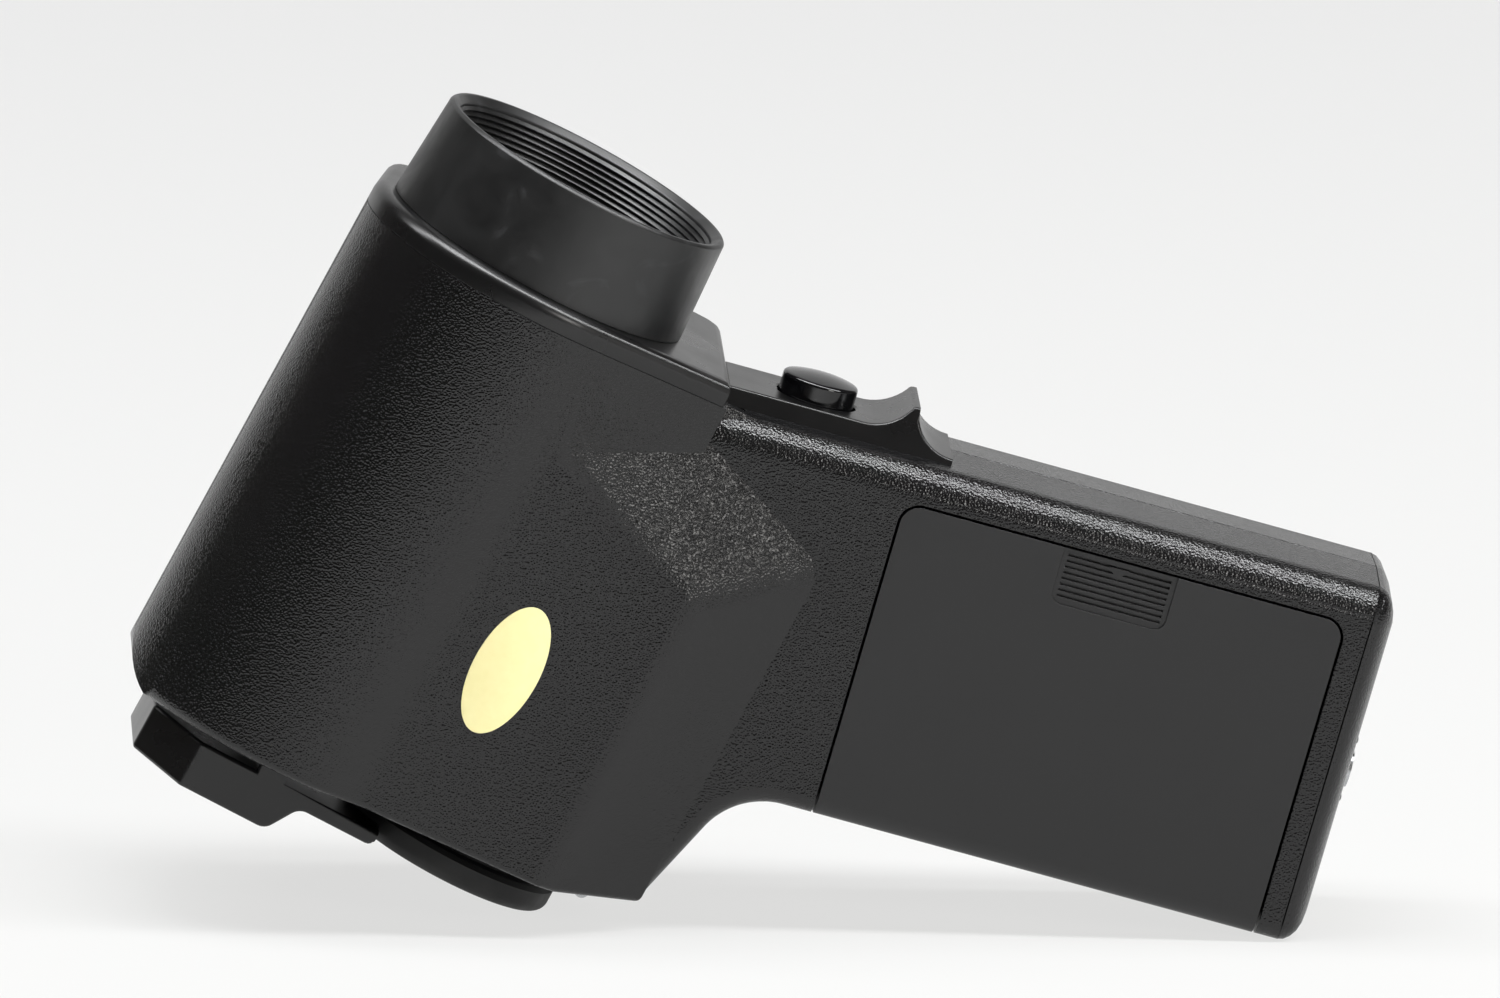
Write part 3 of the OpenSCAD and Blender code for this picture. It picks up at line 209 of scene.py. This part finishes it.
GRAIN = grained_abs()
DOOR = smooth_finish("moulded_abs_silky", "#171718", "#1a1a1b", 0.36, 0.42, 0.012)
COVER = smooth_finish("moulded_abs_satin", "#09090a", "#0c0c0d", 0.26, 0.32, 0.006)
TRIGGER = smooth_finish("moulded_abs_worn_satin", "#070708", "#0b0b0c", 0.26, 0.32, 0.03)
POLISHED = smooth_finish("polished_abs", "#08080a", "#0b0b0d", 0.1, 0.14, 0.0)
FRAME = smooth_finish("moulded_nylon_black", "#202022", "#29292c", 0.5, 0.6, 0.02)
KEYS = smooth_finish("moulded_abs_key_grey", "#3d3d41", "#444448", 0.4, 0.5, 0.01)
PANEL = smooth_finish("printed_polyester_black", "#1b1b1d", "#1f1f22", 0.34, 0.4, 0.008)
CELL = smooth_finish("lacquered_steel_jacket", "#5c6268", "#666c72", 0.3, 0.36, 0.004)
HOOD = anodised_black()
RUBBER = rubber("moulded_rubber_black", "#0a0a0a", "#0f0f0f")
KEY_MAT = rubber("silicone_rubber_grey", "#505053", "#5c5c60")
BLACK_METAL = smooth_finish("blackened_aluminium", "#0d0d0e", "#131315", 0.5, 0.6, 0.01)
PLATED = metal("nickel_plated_steel", "#b4b6b8", "#c8cacc", 0.22)
SPRING = metal("spring_steel", "#9a9c9f", "#b0b2b5", 0.28)
BRASS = metal("turned_brass", "#a9853f", "#bd994f", 0.25)
SILVERED = metal("half_silvered_glass", "#c4c9cc", "#d2d6d9", 0.03)
LENS = glass("coated_optical_glass", "#e9f0f2", 0.0)
WINDOW = glass("clear_acrylic", "#e3e8e6", 0.04)
DISPLAY = smooth_finish("display_glass_grey_green", "#70796f", "#7a8378", 0.18, 0.22, 0.0)
SENSOR = smooth_finish("silicon_cell_window", "#231a28", "#2b2130", 0.15, 0.2, 0.0)
BOARD = circuit_board()
LABEL = paper_label()

FINISH_OF_SLOT = {
    "shell_plastic": GRAIN, "door_plastic": DOOR, "cover_plastic": COVER, "hood_plastic": HOOD,
    "soft_rubber": RUBBER, "gloss_plastic": POLISHED, "clear_glass": LENS, "silvered_glass": SILVERED,
    "black_metal": BLACK_METAL, "frame_plastic": FRAME, "circuit_board": BOARD, "sensor": SENSOR,
    "display_glass": DISPLAY, "window_plastic": WINDOW, "key_rubber": KEY_MAT, "panel_plastic": PANEL,
    "key_plastic": KEYS, "cell_jacket": CELL, "spring_steel": SPRING, "plated_steel": PLATED, "brass": BRASS,
}
SLOT_OF_NODE = {part["node"]: part["material_slot"] for part in frame["record"]["subparts"]}
BODY_OF_NODE = {node: body for body, held in frame["record"]["behaviour"]["bodies"].items() for node in held}


def material_of(node):
    return TRIGGER if node == "trigger_panel" else FINISH_OF_SLOT[SLOT_OF_NODE[node]]


def coat(obj, material):
    obj.data.materials.clear()
    obj.data.materials.append(material)


for node, obj in nodes.items():
    coat(obj, material_of(node))


# Faces of the shells whose edges are rounded, by their direction in the attitude of use. The roundings and
# places below are in millimetres, in that attitude too.
SHELL_FACES = {
    "flat": Vector((0, -1, 0)),
    "front": Vector((0.3855, -0.9114, -0.1441)),
    "low": Vector((0, -0.901, -0.434)),
    "rear": Vector((-0.9986, 0, -0.0523)),
    "rake": Vector((-0.9659, 0, -0.2588)),
}
BULGE_ROUND = 1.3
BULGE_CORNER_ROUND = 2.6
REAR_ROUND = 0.8
CROWN_ROUND = 1.8
CROWN_FROM = -5
CROWN_RISE = 20
PARTING_ROUND = 0.16
PARTING_GAP = 0.25
# How near an edge lies to a plane to count as being on it
ON_PLANE = 0.05
REAR_START = -78
GRIP_SIDE = -14
DOOR_TOP = -48
EYEPIECE_DROP = 25.9
PANEL_ROUND = 0.35
REAR_COVER_ROUND = 0.5
TOWARDS_GRIP = Vector((-0.977, 0, -0.213))
PANEL_TAIL = Vector((0.213, 0, -0.977))


def face_name(normal):
    return next((name for name, way in SHELL_FACES.items() if normal.dot(way) > 0.998), "")


def shell_width(middle, normals):
    """How far an edge of a shell is rounded, in millimetres."""
    found = {face_name(n) for n in normals}
    at_seam = [abs(middle.y - (PARTING_GAP if n.y < 0 else 0)) < ON_PLANE for n in normals if abs(n.y) > 0.99]
    if any(at_seam):
        return PARTING_ROUND
    if found == {"front", "low"}:
        return BULGE_CORNER_ROUND
    if found <= {"front", "low", "flat"} and len(found) == 2:
        return BULGE_ROUND
    if middle.x < REAR_START and len(found & {"rear", "rake"}) == 1 and min(abs(n.x) for n in normals) < 0.3:
        rise = max(0, min(1, (middle.z - CROWN_FROM) / CROWN_RISE))
        return REAR_ROUND + (CROWN_ROUND - REAR_ROUND) * rise
    on_grip = abs(middle.y - GRIP_SIDE) < ON_PLANE and middle.z < DOOR_TOP
    if on_grip and min(abs(n.y) for n in normals) < 0.02:
        return PARTING_ROUND
    return 0


def panel_width(middle, normals):
    """Rounds the trigger panel all over, but not where it meets the grip."""
    seated = any(n.dot(TOWARDS_GRIP) > 0.9 or n.dot(PANEL_TAIL) > 0.99 for n in normals)
    return 0 if seated else PANEL_ROUND


def rear_cover_width(middle, normals):
    """Rounds the outline of the rear cover, but not the arch around the eyepiece."""
    from_eye = Vector((0, middle.y, middle.z + EYEPIECE_DROP))
    on_arch = any(abs(n.x) < 0.3 and n.dot(from_eye) < 0 for n in normals)
    return 0 if on_arch else REAR_COVER_ROUND


def even_width(width):
    return lambda middle, normals: width


def merged_copy(node):
    """A bmesh of a CAD node with its triangles joined, and its flat faces made whole."""
    bm = bmesh.new()
    bm.from_mesh(nodes[node].data)
    bmesh.ops.remove_doubles(bm, verts=bm.verts, dist=0.002 * MM)
    bmesh.ops.dissolve_limit(bm, angle_limit=math.radians(0.4), verts=bm.verts, edges=bm.edges)
    return bm


def soften(node, width_of, segments=3, sharp=20):
    """Stands a copy of a CAD node in its place, with its outer edges rounded as far as width_of says."""
    bm = merged_copy(node)
    weight = bm.edges.layers.float.new("bevel_weight_edge")
    tree = BVHTree.FromBMesh(bm)
    turn = USE.to_3x3()
    widths = {}
    for edge in bm.edges:
        edge.smooth = edge.calc_face_angle(0) < math.radians(sharp)
        if edge.smooth or not edge.is_convex:
            continue
        normals = [f.normal for f in edge.link_faces]
        middle = (edge.verts[0].co + edge.verts[1].co) / 2
        out = (normals[0] + normals[1]).normalized()
        width = width_of((USE @ middle) / MM, [turn @ n for n in normals])
        if width and tree.ray_cast(middle + out * 0.05 * MM, out)[0] is None:
            widths[edge] = width
            edge.smooth = True
    most = max(widths.values())
    for edge, width in widths.items():
        edge[weight] = width / most
    mesh = bpy.data.meshes.new(node + "_moulding")
    for face in bm.faces:
        face.smooth = True
    bm.to_mesh(mesh)
    bm.free()
    obj = bpy.data.objects.new(node + "_moulding", mesh)
    bpy.context.scene.collection.objects.link(obj)
    bevel = obj.modifiers.new("rounded_edges", "BEVEL")
    bevel.limit_method = "WEIGHT"
    bevel.width = most * MM
    bevel.segments = segments
    bevel.use_clamp_overlap = False
    flats = obj.modifiers.new("flat_faces_stay_flat", "WEIGHTED_NORMAL")
    flats.keep_sharp = True
    coat(obj, material_of(node))
    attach(obj, BODY_OF_NODE[node])
    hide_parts(node)
    return obj


MOULDED_ROUND = 0.15
HOOD_ROUND = 0.12
DOOR_ROUND = 0.06
BUTTON_ROUND = 0.35
KEY_ROUND = 0.3
KEY_USES = ("iso", "time", "up", "down", "shadow", "highlight", "average", "memory")
SLIDER_USES = ("mode", "power")

soften("right_shell", shell_width, 4)
soften("left_shell", shell_width, 4)
soften("battery_door", even_width(DOOR_ROUND), 2)
soften("trigger_panel", panel_width, 3)
soften("measuring_button", even_width(BUTTON_ROUND), 3)
soften("rear_cover", rear_cover_width, 3)
soften("front_cover", even_width(MOULDED_ROUND), 2, 40)
soften("end_cap", even_width(MOULDED_ROUND), 2, 40)
soften("lens_hood", even_width(HOOD_ROUND), 2, 30)
for node in ["key_" + use for use in KEY_USES] + [use + "_slider" for use in SLIDER_USES]:
    soften(node, even_width(KEY_ROUND), 3)
soften("control_panel", even_width(MOULDED_ROUND), 2)


def new_piece(name, bm, place, material, body):
    """A piece from a bmesh drawn about its own origin in millimetres, put in its place."""
    bmesh.ops.transform(bm, matrix=place @ Matrix.Scale(MM, 4), verts=bm.verts)
    bmesh.ops.recalc_face_normals(bm, faces=bm.faces)
    mesh = bpy.data.meshes.new(name)
    bm.to_mesh(mesh)
    bm.free()
    mesh.shade_smooth()
    mesh.set_sharp_from_angle(angle=math.radians(30))
    obj = bpy.data.objects.new(name, mesh)
    bpy.context.scene.collection.objects.link(obj)
    coat(obj, material)
    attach(obj, body)
    return obj


def thicken(bm, depth, edge):
    """Gives a flat shape in the XY plane a thickness, and rounds its upper rim."""
    made = bmesh.ops.extrude_face_region(bm, geom=bm.faces[:])
    top = [v for v in made["geom"] if isinstance(v, bmesh.types.BMVert)]
    bmesh.ops.translate(bm, vec=(0, 0, depth), verts=top)
    rim = [e for e in bm.edges if all(v in top for v in e.verts)]
    bmesh.ops.bevel(bm, geom=rim, offset=edge, affect="EDGES", segments=2, profile=0.5, material=-1)


# Plain oval paper label on the flat of the bulge
LABEL_HALF = (9.1, 4.35)
LABEL_T = 0.09
LABEL_RIM = 0.03
LABEL_MIDDLE = Vector((-59.4, -20.5, -19.15)) * MM
LABEL_PLACE = REST @ Matrix.Translation(LABEL_MIDDLE) @ Matrix.Rotation(math.pi / 2, 4, "X")
label = bmesh.new()
bmesh.ops.create_circle(label, cap_ends=True, segments=72, radius=1)
bmesh.ops.scale(label, vec=(*LABEL_HALF, 1), verts=label.verts)
thicken(label, LABEL_T, LABEL_RIM)
new_piece("oval_label", label, LABEL_PLACE, LABEL, "case")


# Camera, at the photograph's viewing angle: far away with a long lens
VIEW_TURN = math.radians(2.5)
VIEW_FALL = math.radians(12.4)
VIEW_ROLL = math.radians(1.6)
VIEW_DISTANCE = 4.0
PIXELS_PER_MM = 7.75
IMAGE_WIDTH = 1500
# Where the point 50 mm above the part's origin shows, in pixels right of and below the middle of the image
AIM_POINT = Vector((0, 0, 50)) * MM
AIM_RIGHT = 12.92
AIM_BELOW = 31.55

ahead = Vector((math.sin(VIEW_TURN), math.cos(VIEW_TURN), 0))
level_right = Vector((math.cos(VIEW_TURN), -math.sin(VIEW_TURN), 0))
level_up = ahead * math.sin(VIEW_FALL) + Vector((0, 0, math.cos(VIEW_FALL)))
look = ahead * math.cos(VIEW_FALL) - Vector((0, 0, math.sin(VIEW_FALL)))
screen_right = level_right * math.cos(VIEW_ROLL) + level_up * math.sin(VIEW_ROLL)
screen_up = level_up * math.cos(VIEW_ROLL) - level_right * math.sin(VIEW_ROLL)
pixel = MM / PIXELS_PER_MM
aim = AIM_POINT - screen_right * AIM_RIGHT * pixel + screen_up * AIM_BELOW * pixel
camera = bpy.data.objects.new("camera", bpy.data.cameras.new("camera"))
bpy.context.scene.collection.objects.link(camera)
camera.matrix_world = Matrix.Translation(aim - look * VIEW_DISTANCE) @ Matrix(
    (screen_right, screen_up, -look)).transposed().to_4x4()
camera.data.sensor_width = 36
camera.data.lens = camera.data.sensor_width * VIEW_DISTANCE / (IMAGE_WIDTH * pixel)
camera.data.clip_end = 100
bpy.context.scene.camera = camera

# Studio: a white sweep no wider than a table, two long strip lights above it, a small window and a dim room
bpy.context.scene.view_settings.view_transform = "Standard"
SWEEP_SIDES = (-0.7, 0.7)
SWEEP_FRONT = -0.75
SWEEP_BACK = 1.1
SWEEP_R = 0.5
SWEEP_TOP = 1.2
# How much of the sweep's white is its own glow, so that shadows on it stay soft
GLOW_SHARE = 0.85
# Painted shade in reflections: mirrored rays find the sweep nearly dark before one place along it, and fully
# lit beyond the other
UNLIT_AT = -0.55
LIT_AT = -0.1
UNLIT_SHARE = 0.05


def seen_rays(tree):
    """Two masks: rays from the camera, and rays from a reflection or through glass."""
    path = add(tree, "ShaderNodeLightPath").outputs
    mirrored = add(tree, "ShaderNodeMath", {"operation": "MAXIMUM"},
                   {0: path["Is Glossy Ray"], 1: path["Is Transmission Ray"]}).outputs["Value"]
    return path["Is Camera Ray"], mirrored


# Painted card: nearly even white to the eye, with painted shade that makes it greyer away from the camera,
# and soft shadows stay on it. Its front end has painted shade for mirrored rays alone, so reflections find it
# darker there.
# From behind it is clear.
def white_card():
    material = bpy.data.materials.new("painted_card_white")
    material.use_nodes = True
    tree = material.node_tree
    tree.nodes.clear()
    place = add(tree, "ShaderNodeTexCoord").outputs["Object"]
    away = add(tree, "ShaderNodeVectorMath", {"operation": "DOT_PRODUCT", 1: (-0.35, 1, 0)}, {0: place})
    # Painted shade: the glow greys away from the camera, as light falling off across the sweep would make it
    painted_falloff = ramp(tree, away.outputs["Value"], -0.05, 0.6, 0, 1)
    glow = add(tree, "ShaderNodeEmission", links={"Color": mix_colour(tree, painted_falloff, "#eaeae9", "#e2e2e2")})
    card = add(tree, "ShaderNodeBsdfDiffuse", {"Color": linear("#f4f4f3")})
    camera_ray, mirrored = seen_rays(tree)
    along = add(tree, "ShaderNodeSeparateXYZ", links={0: place})
    # Painted shade in reflections: mirrored rays see the sweep's front end darker than it is lit
    painted_reflection_shade = ramp(tree, along.outputs["Y"], UNLIT_AT, LIT_AT, UNLIT_SHARE, 1)
    lit = add(tree, "ShaderNodeMath", {"operation": "MULTIPLY"}, {0: mirrored, 1: painted_reflection_shade})
    seen = add(tree, "ShaderNodeMath", {"operation": "MAXIMUM"}, {0: camera_ray, 1: lit.outputs["Value"]})
    share = add(tree, "ShaderNodeMath", {"operation": "MULTIPLY", 1: GLOW_SHARE},
                {0: seen.outputs["Value"]})
    both = add(tree, "ShaderNodeMixShader", links={
        0: share.outputs["Value"], 1: card.outputs["BSDF"], 2: glow.outputs["Emission"],
    })
    one_sided = add(tree, "ShaderNodeMixShader", links={
        0: add(tree, "ShaderNodeNewGeometry").outputs["Backfacing"], 1: both.outputs["Shader"],
        2: add(tree, "ShaderNodeBsdfTransparent").outputs["BSDF"],
    })
    add(tree, "ShaderNodeOutputMaterial", links={"Surface": one_sided.outputs["Shader"]})
    return material


sweep = bmesh.new()
corners = [sweep.verts.new((x, SWEEP_FRONT, 0)) for x in SWEEP_SIDES]
line = [sweep.edges.new(corners)]
flat = bmesh.ops.extrude_edge_only(sweep, edges=line)["geom"]
moved = [v for v in flat if isinstance(v, bmesh.types.BMVert)]
bmesh.ops.translate(sweep, vec=(0, SWEEP_BACK - SWEEP_FRONT, 0), verts=moved)
line = [e for e in flat if isinstance(e, bmesh.types.BMEdge) and all(v in moved for v in e.verts)]
bend = bmesh.ops.spin(sweep, geom=line, cent=(0, SWEEP_BACK, SWEEP_R), axis=(1, 0, 0),
                      angle=math.pi / 2, steps=24)
line = [e for e in bend["geom_last"] if isinstance(e, bmesh.types.BMEdge)]
wall = bmesh.ops.extrude_edge_only(sweep, edges=line)["geom"]
moved = [v for v in wall if isinstance(v, bmesh.types.BMVert)]
bmesh.ops.translate(sweep, vec=(0, 0, SWEEP_TOP), verts=moved)
bmesh.ops.recalc_face_normals(sweep, faces=sweep.faces)
if min(f.normal.z for f in sweep.faces) < -0.5:
    bmesh.ops.reverse_faces(sweep, faces=sweep.faces)
sweep_mesh = bpy.data.meshes.new("white_sweep")
sweep.to_mesh(sweep_mesh)
sweep.free()
sweep_mesh.shade_smooth()
floor = bpy.data.objects.new("white_sweep", sweep_mesh)
bpy.context.scene.collection.objects.link(floor)
coat(floor, white_card())


def area_lamp(name, place, target, size, power, colour):
    """A rectangular lamp at a place, turned to a target, with its size in metres and its power in watts."""
    lamp = bpy.data.lights.new(name, "AREA")
    lamp.shape = "RECTANGLE"
    lamp.size, lamp.size_y = size
    lamp.energy = power
    lamp.color = linear(colour)[:3]
    obj = bpy.data.objects.new(name, lamp)
    bpy.context.scene.collection.objects.link(obj)
    obj.location = place
    obj.rotation_mode = "QUATERNION"
    obj.rotation_quaternion = (Vector(target) - Vector(place)).to_track_quat("-Z", "Y")


STRIP_W = 0.24
STRIP_HEIGHT = 1.2
STRIP_AIM_HEIGHT = 0.03
# Each strip light: its name, its place across and along the table, where across it aims, its length and power
STRIPS = (
    ("strip_light_right", 0.43, -0.2, 0.03, 2.0, 30),
    ("strip_light_left", -0.39, 0.1, -0.03, 1.3, 12),
)
for name, across, along, aim_across, length, power in STRIPS:
    place = (across, along, STRIP_HEIGHT)
    target = (aim_across, along, STRIP_AIM_HEIGHT)
    area_lamp(name, place, target, (STRIP_W, length), power, "#fdfeff")
area_lamp("window_right", (0.76, -0.91, 0.44), (0, 0, 0.05), (0.32, 0.3), 3.4, "#fffdf9")

# Room: dim all round for the light it gives, pale where it is the background, and where that is mirrored
ROOM_GLOW = 0.09
# How squarely a mirrored ray has to point to the back of the room to find the pale background
BACKGROUND_FROM = 0.77
world = bpy.data.worlds.new("dim_room")
bpy.context.scene.world = world
world.use_nodes = True
room = world.node_tree
room.nodes.clear()
way = add(room, "ShaderNodeSeparateXYZ", links={0: add(room, "ShaderNodeTexCoord").outputs["Generated"]})
camera_ray, mirrored = seen_rays(room)
behind = add(room, "ShaderNodeMath", {"operation": "GREATER_THAN", 1: BACKGROUND_FROM}, {0: way.outputs["Y"]})
mirrored_behind = add(room, "ShaderNodeMath", {"operation": "MULTIPLY"},
                      {0: mirrored, 1: behind.outputs["Value"]})
seen = add(room, "ShaderNodeMath", {"operation": "MAXIMUM"},
           {0: camera_ray, 1: mirrored_behind.outputs["Value"]})
pale = add(room, "ShaderNodeBackground", {"Color": linear("#f2f2f1"), "Strength": 1.0})
dim = add(room, "ShaderNodeBackground", {"Color": linear("#fff6ee"), "Strength": ROOM_GLOW})
either = add(room, "ShaderNodeMixShader", links={
    0: seen.outputs["Value"], 1: dim.outputs["Background"], 2: pale.outputs["Background"],
})
add(room, "ShaderNodeOutputWorld", links={"Surface": either.outputs["Shader"]})
